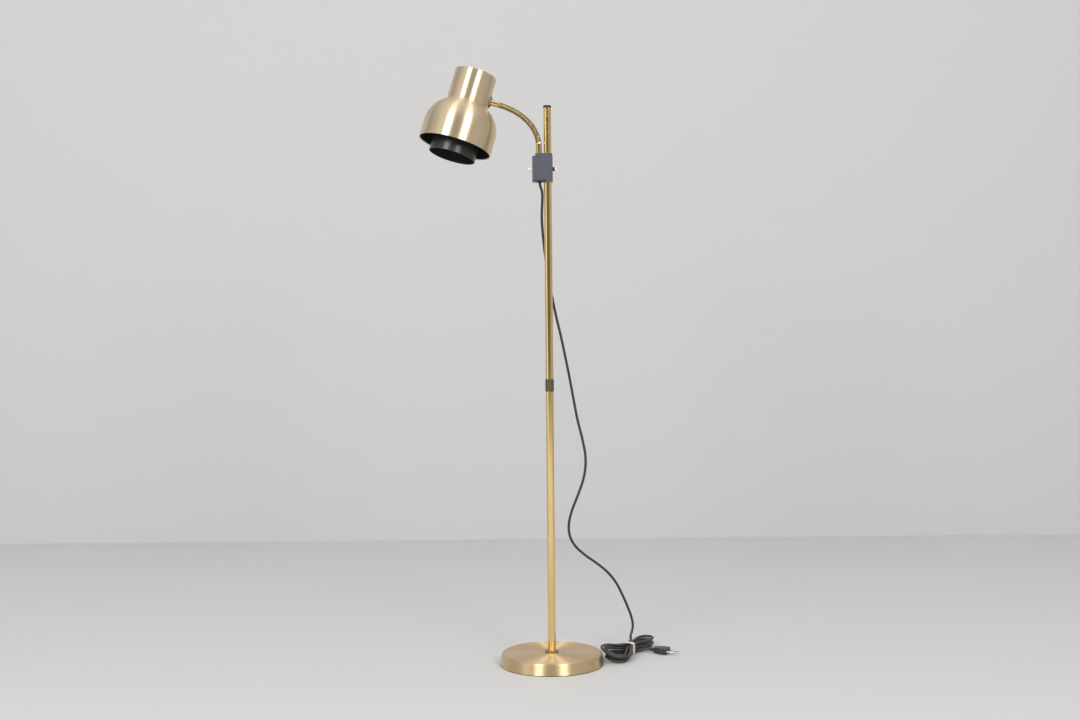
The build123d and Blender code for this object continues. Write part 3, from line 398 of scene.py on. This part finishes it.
band = tube("rubber_band", band_line(), BAND_STRAND / MM_PER_M, BAND_SIDES)
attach(band, "stand")
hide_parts("hank_band")
print("band", round(path_lengths(band_line())[-1], 2), "m of strand")


# %% [markdown]
# ## The gooseneck
# The arm is a hose of wound brass wire that stays where it is bent. In CAD it is a chain of short
# links. Here each joint gets one length of hose, from the middle of the link before it to the
# middle of the link after it. A quadratic curve with the joint as its control point leaves both
# links in their own direction, so the lengths meet without a kink. The winding is a helix: the
# radius dips where length / pitch - angle / turn is a whole number, and because the length runs
# on from piece to piece, so does the groove.

# %% One length of hose
HOSE_RADIUS = 0.0058
HOSE_SIDES = 48
WIRE_DEPTH = 0.0009
WIRE_PITCH = 0.00242
WIRE_ROUNDNESS = 0.7
ROWS_PER_WIRE = 12
FRONT = np.array([0.0, -1.0, 0.0])


def hose_length(name, knee, way_in, way_out, start):
    """One length of hose: the curve (1-t)^2 A + 2t(1-t) knee + t^2 B, and round it a radius that
    follows |sin(pi (length / pitch - angle / turn))|^0.7, a row of round wires with narrow
    grooves."""
    first, last = knee - way_in * half_link, knee + way_out * half_link
    rows = round(2 * half_link / WIRE_PITCH * ROWS_PER_WIRE)
    share = np.linspace(0, 1, rows + 1)[:, None]
    line = (1 - share)**2 * first + 2 * share * (1 - share) * knee + share**2 * last
    along = start + share * 2 * half_link
    winding = np.pi * (along / WIRE_PITCH - np.arange(HOSE_SIDES) / HOSE_SIDES)
    radius = HOSE_RADIUS - WIRE_DEPTH * (1 - np.abs(np.sin(winding))**WIRE_ROUNDNESS)
    front = np.broadcast_to(FRONT, line.shape)
    sidewise = np.cross(unit_tangents(line), front)
    angle = 2 * np.pi * np.arange(HOSE_SIDES) / HOSE_SIDES
    ring = (np.cos(angle)[None, :, None] * front[:, None]
            + np.sin(angle)[None, :, None] * sidewise[:, None])
    piece = grid_piece(name, line[:, None] + radius[..., None] * ring, start + path_lengths(line))
    return piece, first, last


print("wire pitch", WIRE_PITCH * MM_PER_M, "mm")

# %% [markdown]
# The joints give the knees of the arm, and the steps between them the direction of each link. The
# hose starts upright in the lower ferrule and ends along the nipple on which the shade turns.

# %% Gooseneck
arm_joints = [joint for joint in frame["joints"] if joint["name"].startswith("arm_")]
knees = np.array([joint["pos_m"] for joint in arm_joints])
links = np.diff(knees, axis=0)
half_link = np.linalg.norm(links[0]) / 2
link_ways = links / np.linalg.norm(links, axis=1, keepdims=True)
tip_way = np.array(joints["shade_turn"]["axis"])
ways = np.vstack([(0, 0, 1), link_ways, tip_way])

hose = []
for index, joint in enumerate(arm_joints):
    piece, first, last = hose_length(f"gooseneck_{index + 1}", knees[index], ways[index],
                                     ways[index + 1], index * 2 * half_link)
    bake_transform(piece)
    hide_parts(f"gooseneck_link_{min(index + 1, len(arm_joints) - 1)}")
    hose.append(piece)
print(len(hose), "lengths of hose,", round(2 * half_link * len(hose) / WIRE_PITCH), "wires")

# %% [markdown]
# ## Finishes
# Each finish starts as a Principled shader whose constant values are set on its own sockets.
# What varies over the surface, such as brushing, mottling or grain, comes from noise that reads
# Object coordinates. A small helper adds one node at a time.


# %% Node helpers
def new_finish(name, colour, roughness, metallic=0.0, **sockets):
    """A material with a Principled shader, and that shader's values."""
    material = bpy.data.materials.new(name)
    material.use_nodes = True
    shader = material.node_tree.nodes["Principled BSDF"]
    shader.inputs["Base Color"].default_value = (*colour, 1)
    shader.inputs["Roughness"].default_value = roughness
    shader.inputs["Metallic"].default_value = metallic
    for socket, value in sockets.items():
        shader.inputs[socket.replace("_", " ")].default_value = value
    return material


def feed(material, socket, value):
    """Gives a socket another node's output, or else a plain value."""
    if isinstance(value, bpy.types.NodeSocket):
        material.node_tree.links.new(value, socket)
    else:
        socket.default_value = value


def add(material, kind, settings=(), **inputs):
    """Adds a node. Settings are its properties. Inputs are socket names, or in_0, in_1 for
    sockets by number, with a value or another node's output to link."""
    node = material.node_tree.nodes.new("ShaderNode" + kind)
    for key, value in dict(settings).items():
        setattr(node, key, value)
    for key, value in inputs.items():
        socket = int(key[3:]) if key.startswith("in_") else key.replace("_", " ")
        feed(material, node.inputs[socket], value)
    return node.outputs[0]


def plug_in(material, socket, value):
    """Links a node's output to the material's shader."""
    shader = material.node_tree.nodes["Principled BSDF"]
    material.node_tree.links.new(value, shader.inputs[socket])


print("node helpers ready")

# %% [markdown]
# On top of that come the few kinds of node that every finish here uses: sums, ranges, mixed
# colours, relief, and noise, most of which lies in one span of values.

# %% Finish helpers
NOISE_SPAN = (0.3, 0.7)


def number_math(material, operation, *values):
    """A number node, such as ADD, of values or other nodes' outputs."""
    inputs = {f"in_{index}": value for index, value in enumerate(values)}
    return add(material, "Math", {"operation": operation}, **inputs)


def vector_math(material, operation, *values):
    """A vector node: its vector, or its number where the operation gives one."""
    node = material.node_tree.nodes.new("ShaderNodeVectorMath")
    node.operation = operation
    for socket, value in zip(node.inputs, values):
        feed(material, socket, value)
    return node.outputs["Value" if operation in ("DOT_PRODUCT", "LENGTH") else "Vector"]


def ramp(material, value, low, high, to_low, to_high):
    """A value carried from one range to another."""
    return add(material, "MapRange", Value=value, From_Min=low, From_Max=high,
               To_Min=to_low, To_Max=to_high)


def mixed(material, share, first, second):
    """A colour between two colours, each written down or another node's output."""
    first, second = [colour if isinstance(colour, bpy.types.NodeSocket) else (*colour, 1)
                     for colour in (first, second)]
    return add(material, "MixRGB", Fac=share, Color1=first, Color2=second)


def bump(material, height, depth, strength=1.0):
    """Relief of a given depth in metres."""
    relief = add(material, "Bump", Height=height, Distance=depth, Strength=strength)
    plug_in(material, "Normal", relief)


def noise(material, place, scale, detail, **inputs):
    """Soft noise between 0 and 1, of a given number of cells in a metre."""
    return add(material, "TexNoise", Vector=place, Scale=scale, Detail=detail, **inputs)


def object_place(material):
    """Object coordinates, which are the lamp's own frame in metres."""
    return material.node_tree.nodes.new("ShaderNodeTexCoord").outputs["Object"]


def dress(material, *names):
    """Puts a finish on CAD pieces or new pieces."""
    for name in names:
        piece = nodes.get(name) or bpy.data.objects[name]
        if not piece.material_slots:
            piece.data.materials.append(material)
        for slot in piece.material_slots:
            slot.material = material


print("finish helpers ready")

# %% [markdown]
# ## Brushed brass
# The base and the shade were spun on a lathe and brushed while they turned, so fine lines run
# round their axis. Such lines smear a reflection across themselves: a soft box becomes a streak
# from top to bottom of the shade, and opens into bright fans on the flat top of the base.
# Anisotropy does that. Its tangent runs round the axis here, and a quarter turn of rotation makes
# the smear go across it. Noise that changes quickly with radius and height, and slowly with the
# place round the axis, gives the lines themselves. A few specks of tarnish show the lamp's age.

# %% Brushed brass
SMEAR = 0.95
QUARTER_TURN = 0.25
BRUSH_LINES = 3500.0
LINES_ROUND = 14.0
LINE_DEPTH = 0.000004
LINE_SHADE = 0.93
CLOUD_SCALE = 14.0
SPECK_SCALE = 150.0
TARNISH_SHADE = 0.45
TARNISH_ROUGHNESS = 0.2


def spun_metal(name, colour, roughness, centre=(0, 0, 0), turn=(0, 0, 0), axis=(0, 0, 1)):
    """Metal brushed in circles round an axis: noise of (radius, height, a little of x)."""
    metal = new_finish(name, colour, roughness, 1.0, Anisotropic=SMEAR,
                       Anisotropic_Rotation=QUARTER_TURN)
    unturned = object_place(metal)
    place = add(metal, "Mapping", {"vector_type": "TEXTURE"}, Vector=unturned, Location=centre,
                Rotation=turn)
    parts = metal.node_tree.nodes.new("ShaderNodeSeparateXYZ")
    metal.node_tree.links.new(place, parts.inputs[0])
    x, y, z = parts.outputs
    radius = vector_math(metal, "LENGTH", add(metal, "CombineXYZ", X=x, Y=y))
    lines_place = add(metal, "CombineXYZ", X=number_math(metal, "MULTIPLY", radius, BRUSH_LINES),
                      Y=number_math(metal, "MULTIPLY", z, BRUSH_LINES),
                      Z=number_math(metal, "MULTIPLY", x, LINES_ROUND))
    lines = noise(metal, lines_place, 1.0, 3.0, Roughness=0.6)
    cloud = noise(metal, place, CLOUD_SCALE, 3.0)
    worn = ramp(metal, noise(metal, place, SPECK_SCALE, 2.0), 0.71, 0.76, 0.0, 0.5)
    lined = ramp(metal, lines, *NOISE_SPAN, roughness - 0.03, roughness + 0.03)
    clouded = ramp(metal, cloud, *NOISE_SPAN, -0.02, 0.02)
    plug_in(metal, "Roughness", number_math(metal, "MULTIPLY_ADD", worn, TARNISH_ROUGHNESS,
                                            number_math(metal, "ADD", lined, clouded)))
    darker = tuple(LINE_SHADE * part for part in colour)
    tarnish = tuple(TARNISH_SHADE * part for part in colour)
    brushed = mixed(metal, ramp(metal, lines, 0.25, 0.75, 0.0, 1.0), darker, colour)
    plug_in(metal, "Base Color", mixed(metal, worn, brushed, tarnish))
    bump(metal, lines, LINE_DEPTH, 0.5)
    from_centre = vector_math(metal, "SUBTRACT", unturned, centre)
    way = vector_math(metal, "CROSS_PRODUCT", axis, from_centre)
    to_world = {"vector_type": "VECTOR", "convert_from": "OBJECT", "convert_to": "WORLD"}
    plug_in(metal, "Tangent", add(metal, "VectorTransform", to_world, Vector=way))
    return metal


base_brass = spun_metal("base_brass", (0.765, 0.58, 0.343), 0.40)
dress(base_brass, "base_cover")
print("base brushed")

# %% [markdown]
# The shade has the same brushing in a paler lacquer, but about its own tilted axis. That axis is
# square to the nipple that it turns on, and leans a little towards the back.

# %% Shade
SHADE_ROLL = math.radians(8.8)

turn_joint = joints["shade_turn"]
shade_centre = np.array(turn_joint["pos_m"])
upright = np.cross(np.array(turn_joint["axis"]), FRONT)
shade_axis = upright * math.cos(SHADE_ROLL) - FRONT * math.sin(SHADE_ROLL)
shade_turn = Vector(shade_axis).to_track_quat("Z", "Y").to_euler()
shade_brass = spun_metal("shade_brass", (0.80, 0.65, 0.44), 0.36, tuple(shade_centre),
                         tuple(shade_turn), tuple(shade_axis))
dress(shade_brass, "shade")
print("shade axis", shade_axis.round(3))

# %% [markdown]
# The shade is painted black inside. The outer and the inner skin are one CAD piece, so the paint
# is chosen by the way a face looks: outwards or upwards is brass, inwards or downwards is black.
# The thin turned edge of the rim stays bright.

# %% Black inside the shade
RIM_DEPTH = -0.1086
RIM_EDGE = 0.0016
INSIDE_BLACK = (0.020, 0.020, 0.019)
INSIDE_ROUGHNESS = 0.45


def paint_inside(metal, centre, axis):
    """A dark coat where (normal . (radial way + axis)) is negative, above the rim's edge."""
    tree = metal.node_tree
    coordinates = tree.nodes["Texture Coordinate"]
    reach = vector_math(metal, "SUBTRACT", coordinates.outputs["Object"], centre)
    height = vector_math(metal, "DOT_PRODUCT", reach, axis)
    lift = tree.nodes.new("ShaderNodeVectorMath")
    lift.operation = "SCALE"
    lift.inputs[0].default_value = axis
    tree.links.new(height, lift.inputs["Scale"])
    radial = vector_math(metal, "SUBTRACT", reach, lift.outputs[0])
    way_out = vector_math(metal, "ADD", vector_math(metal, "NORMALIZE", radial), axis)
    facing = vector_math(metal, "DOT_PRODUCT", coordinates.outputs["Normal"], way_out)
    inner = number_math(metal, "LESS_THAN", facing, 0.0)
    above = number_math(metal, "GREATER_THAN", height, RIM_DEPTH + RIM_EDGE)
    coat = tree.nodes.new("ShaderNodeBsdfPrincipled")
    coat.inputs["Base Color"].default_value = (*INSIDE_BLACK, 1)
    coat.inputs["Roughness"].default_value = INSIDE_ROUGHNESS
    both = add(metal, "MixShader", in_0=number_math(metal, "MULTIPLY", inner, above),
               in_1=tree.nodes["Principled BSDF"].outputs[0], in_2=coat.outputs[0])
    tree.links.new(both, tree.nodes["Material Output"].inputs["Surface"])


paint_inside(shade_brass, tuple(shade_centre), tuple(shade_axis))
print("shade black inside")

# %% [markdown]
# ## Polished brass
# The pole and the ferrules are drawn tube, polished and lacquered: a mirror with faint lines along
# its length, and a lacquer that has yellowed a little more here than there.

# %% Tube
LACQUER_STRETCH = (45, 45, 9)
LACQUER_SHADE = np.array([0.93, 0.90, 0.84])
POLISH_DEPTH = 0.000001


def drawn_metal(name, colour, roughness, stretch):
    """Polished metal: noise pulled out along the tube for lines, and broad noise for lacquer."""
    metal = new_finish(name, colour, roughness, 1.0)
    place = object_place(metal)
    lines = noise(metal, add(metal, "Mapping", Vector=place, Scale=stretch), 1.0, 2.0)
    lacquer = noise(metal, add(metal, "Mapping", Vector=place, Scale=LACQUER_STRETCH), 1.0, 3.0)
    lined = ramp(metal, lines, *NOISE_SPAN, roughness - 0.01, roughness + 0.01)
    clouded = ramp(metal, lacquer, 0.35, 0.7, 0.0, 0.015)
    plug_in(metal, "Roughness", number_math(metal, "ADD", lined, clouded))
    yellowed = tuple(LACQUER_SHADE * colour)
    cleanness = ramp(metal, lacquer, 0.35, 0.65, 0.0, 1.0)
    plug_in(metal, "Base Color", mixed(metal, cleanness, yellowed, colour))
    bump(metal, lines, POLISH_DEPTH, 0.4)
    return metal


pole_brass = drawn_metal("pole_brass", (0.88, 0.67, 0.31), 0.11, (900, 900, 6))
dress(pole_brass, "pole_lower_tube", "pole_upper_tube", "arm_lower_ferrule", "arm_upper_ferrule")
print("tube and ferrules dressed")

# %% [markdown]
# The hose is the same metal, coloured darker in its grooves, which its UV map places: the groove
# runs where the length divided by the pitch, less the share of a turn, is a whole number.

# %% Darker grooves in the hose
GROOVE_DARK = (0.06, 0.04, 0.018)

hose_brass = drawn_metal("hose_brass", (0.52, 0.405, 0.205), 0.27, (500, 500, 500))
hose_nodes = hose_brass.node_tree.nodes
clean = hose_nodes["Principled BSDF"].inputs["Base Color"].links[0].from_socket
round_and_along = hose_nodes.new("ShaderNodeSeparateXYZ")
hose_brass.node_tree.links.new(hose_nodes["Texture Coordinate"].outputs["UV"],
                               round_and_along.inputs[0])
share_round, length_along, _ = round_and_along.outputs
wires_along = number_math(hose_brass, "DIVIDE", length_along, WIRE_PITCH)
from_start = number_math(hose_brass, "SUBTRACT", wires_along, share_round)
from_groove = number_math(hose_brass, "PINGPONG", from_start, 0.5)
# The colour is darker towards each groove and plain brass on the crest of each wire.
groove_darkening = ramp(hose_brass, from_groove, 0.08, 0.38, 1.0, 0.0)
plug_in(hose_brass, "Base Color", mixed(hose_brass, groove_darkening, clean, GROOVE_DARK))
dress(hose_brass, *[piece.name for piece in hose])
print("hose dressed")

# %% [markdown]
# ## Paint, plastic, rubber and plated steel
# The clamp has a satin slate paint with a trace of orange peel. Small black parts are moulded
# plastic with a fine grain, the switch button is white plastic, and the cord's sheath is smooth
# soft plastic. Plated parts are bright with a fine grain; the switch's plated bush gets the
# button's white as a painted glint. One helper makes them all: each differs only in its colour,
# its shine, and the size and depth of its grain.

# %% Grained finish
GRAINS_PER_CLOUD = 12


def grained(name, colour, roughness, scale, depth, spread=0.1, metallic=0.0, **sockets):
    """A finish with a fine grain: one noise gives relief, a coarser one shades the colour."""
    material = new_finish(name, colour, roughness, metallic, **sockets)
    place = object_place(material)
    grain = noise(material, place, scale, 2.0)
    cloud = noise(material, place, scale / GRAINS_PER_CLOUD, 3.0)
    low = tuple(part * (1 - spread) for part in colour)
    high = tuple(min(1.0, part * (1 + spread)) for part in colour)
    shade = ramp(material, cloud, *NOISE_SPAN, 0.0, 1.0)
    plug_in(material, "Base Color", mixed(material, shade, low, high))
    shine = ramp(material, cloud, *NOISE_SPAN, roughness - 0.03, roughness + 0.03)
    plug_in(material, "Roughness", shine)
    bump(material, grain, depth)
    return material


print("grained finish ready")

# %% Dark pieces
slate = grained("slate_paint", (0.072, 0.078, 0.097), roughness=0.42, scale=900.0,
                depth=0.00003, spread=0.06)
dress(slate, "clamp_housing", "clamp_top_cover")
black_plastic = grained("black_plastic", (0.018, 0.018, 0.020), roughness=0.42, scale=1400.0,
                        depth=0.00003)
dress(black_plastic, "pole_cap", "clamp_bottom_cover", "cord_grommet", "switch_body",
      "clamp_bush", "screw_bush")
sheath = grained("cord_sheath", (0.034, 0.032, 0.031), roughness=0.40, scale=700.0,
                 depth=0.00002)
dress(sheath, "cord_upper", "cord_lower", "supply_lead", "plug_body")
black_coat = grained("black_coat", (0.020, 0.020, 0.019), roughness=0.32, scale=1100.0,
                     depth=0.00002)
dress(black_coat, "louvre")
cast = grained("cast_iron", (0.08, 0.08, 0.08), roughness=0.75, scale=300.0, depth=0.0002)
dress(cast, "base_weight")
felt = grained("felt", (0.02, 0.02, 0.02), roughness=0.95, scale=1500.0, depth=0.0003, spread=0.3)
dress(felt, "base_pad")
print("dark pieces dressed")

# %% Metal pieces
old_brass = grained("old_brass", (0.34, 0.26, 0.155), roughness=0.38, scale=700.0,
                    depth=0.00002, spread=0.12, metallic=1.0)
dress(old_brass, "shade_saddle", "arm_washer")
coupling_grey = grained("coupling_grey", (0.125, 0.105, 0.066), roughness=0.45, scale=1000.0,
                        depth=0.00002, metallic=0.7)
dress(coupling_grey, "pole_coupling")
# The collar is a dark bronze, and its darkness also paints the shade at the foot of the pole.
collar_bronze = grained("collar_bronze", (0.23, 0.185, 0.10), roughness=0.42, scale=1000.0,
                        depth=0.00002, metallic=0.7)
dress(collar_bronze, "base_collar")
bright = grained("bright_plate", (0.92, 0.92, 0.91), roughness=0.38, scale=800.0,
                 depth=0.00001, spread=0.04, metallic=1.0)
dress(bright, "wing_screw")
zinc = grained("zinc_plate", (0.60, 0.61, 0.63), roughness=0.35, scale=500.0,
               depth=0.00002, metallic=1.0)
dress(zinc, "base_washer", "base_nut", "base_stud", "pole_foot_plug", "clamp_cover_screws",
      "arm_ferrule_nut", "arm_locknut", "louvre_clips", "holder_bracket", "holder_nut",
      "bulb_cap", "plug_pins")
print("metal pieces dressed")

# %% Pale pieces
rubber = grained("band_rubber", (0.74, 0.66, 0.49), roughness=0.55, scale=900.0, depth=0.00003)
dress(rubber, "rubber_band")
# White plastic for the switch button; the plated bush gets the same white, a painted glint.
button_white = grained("button_white", (0.93, 0.93, 0.91), roughness=0.35, scale=800.0,
                       depth=0.00001, spread=0.02)
dress(button_white, "switch_button", "switch_bush")
porcelain = grained("white_insulator", (0.72, 0.71, 0.67), roughness=0.35, scale=300.0,
                    depth=0.00002, spread=0.03)
dress(porcelain, "terminal_block", "lampholder")
frosted = grained("frosted_bulb", (0.90, 0.90, 0.88), roughness=0.45, scale=900.0,
                  depth=0.00001, spread=0.02, Transmission_Weight=0.35)
dress(frosted, "bulb_glass")
print(len(bpy.data.materials), "finishes")

# %% [markdown]
# ## Floor and wall
# The lamp stands in a pale room. The floor is nearly matt, so that it doesn't mirror the lights
# when it is seen from behind. The wall is see-through from behind, so that the lamp can be looked
# at from the back.

# %% Stage
STAGE_REACH = 9
WALL_Y = 1.61
WALL_HEIGHT = 5


def flat_stage(name, corners, colour, roughness, **sockets):
    """A flat piece of the room."""
    mesh = bpy.data.meshes.new(name)
    mesh.from_pydata(corners, [], [(0, 1, 2, 3)])
    piece = bpy.data.objects.new(name, mesh)
    bpy.context.collection.objects.link(piece)
    material = new_finish(name, colour, roughness, **sockets)
    mesh.materials.append(material)
    return material


floor_corners = [(-STAGE_REACH, -STAGE_REACH, 0), (STAGE_REACH, -STAGE_REACH, 0),
                 (STAGE_REACH, STAGE_REACH, 0), (-STAGE_REACH, STAGE_REACH, 0)]
wall_corners = [(-STAGE_REACH, WALL_Y, 0), (STAGE_REACH, WALL_Y, 0),
                (STAGE_REACH, WALL_Y, WALL_HEIGHT), (-STAGE_REACH, WALL_Y, WALL_HEIGHT)]
flat_stage("floor", floor_corners, (0.59, 0.582, 0.577), 0.5, Specular_IOR_Level=0.12)
paint = flat_stage("wall", wall_corners, (0.62, 0.613, 0.609), 0.8)
paint_nodes = paint.node_tree.nodes
behind = paint_nodes.new("ShaderNodeNewGeometry").outputs["Backfacing"]
one_sided = add(paint, "MixShader", in_0=behind, in_1=paint_nodes["Principled BSDF"].outputs[0],
                in_2=add(paint, "BsdfTransparent"))
paint.node_tree.links.new(one_sided, paint_nodes["Material Output"].inputs["Surface"])
print("stage set")

# %% [markdown]
# ## Light
# Two soft boxes hang high on either side of the camera. Brushed metal smears them into the bright
# streaks of the shade and the base, and the polished pole, which mirrors only what stands level
# with it, doesn't show them. A pale panel at the left gives the weaker band beside the streaks.

# %% Soft boxes
LOOK_AT = Vector((0, 0, 0.65))


def soft_box(name, bearing, distance, height, width, tall, power):
    """A soft box that looks at the lamp. Its bearing is counted from the camera, in degrees."""
    light = bpy.data.lights.new(name, "AREA")
    light.shape = "RECTANGLE"
    light.size, light.size_y, light.energy = width, tall, power
    box = bpy.data.objects.new(name, light)
    angle = math.radians(bearing)
    place = Vector((math.sin(angle) * distance, -math.cos(angle) * distance, height))
    aim = (LOOK_AT - place).to_track_quat("-Z", "Y").to_matrix().to_4x4()
    box.matrix_world = Matrix.Translation(place) @ aim
    bpy.context.collection.objects.link(box)


for name, bearing in (("soft_box_left", -32), ("soft_box_right", 27.5)):
    soft_box(name, bearing, distance=4.6, height=3.05, width=1.38, tall=2.3, power=120)
soft_box("pale_panel", bearing=-60, distance=4.5, height=1.2, width=1.6, tall=2.4, power=11)
print("two soft boxes and a panel")

# %% [markdown]
# The world is pale, but darker behind the camera, and that is the dark line down the middle of
# the pole. It is a little brighter overhead.

# %% World
world = bpy.data.worlds.new("pale_room")
world.use_nodes = True
world_nodes, world_links = world.node_tree.nodes, world.node_tree.links
looking = world_nodes.new("ShaderNodeSeparateXYZ")
world_links.new(world_nodes.new("ShaderNodeTexCoord").outputs["Generated"], looking.inputs[0])


def world_level(direction, low, high, to_low, to_high):
    """A smooth step of one part of the direction looked in."""
    return add(world, "MapRange", {"interpolation_type": "SMOOTHSTEP"}, From_Min=low,
               From_Max=high, To_Min=to_low, To_Max=to_high, Value=looking.outputs[direction])


level = number_math(world, "ADD", world_level("Y", low=-1.0, high=-0.4, to_low=0.14, to_high=0.50),
                    world_level("Z", low=0.35, high=1.0, to_low=0.0, to_high=0.5))
world_links.new(level, world_nodes["Background"].inputs["Color"])
bpy.context.scene.world = world
bpy.context.scene.view_settings.view_transform = "Standard"
print("a pale world")
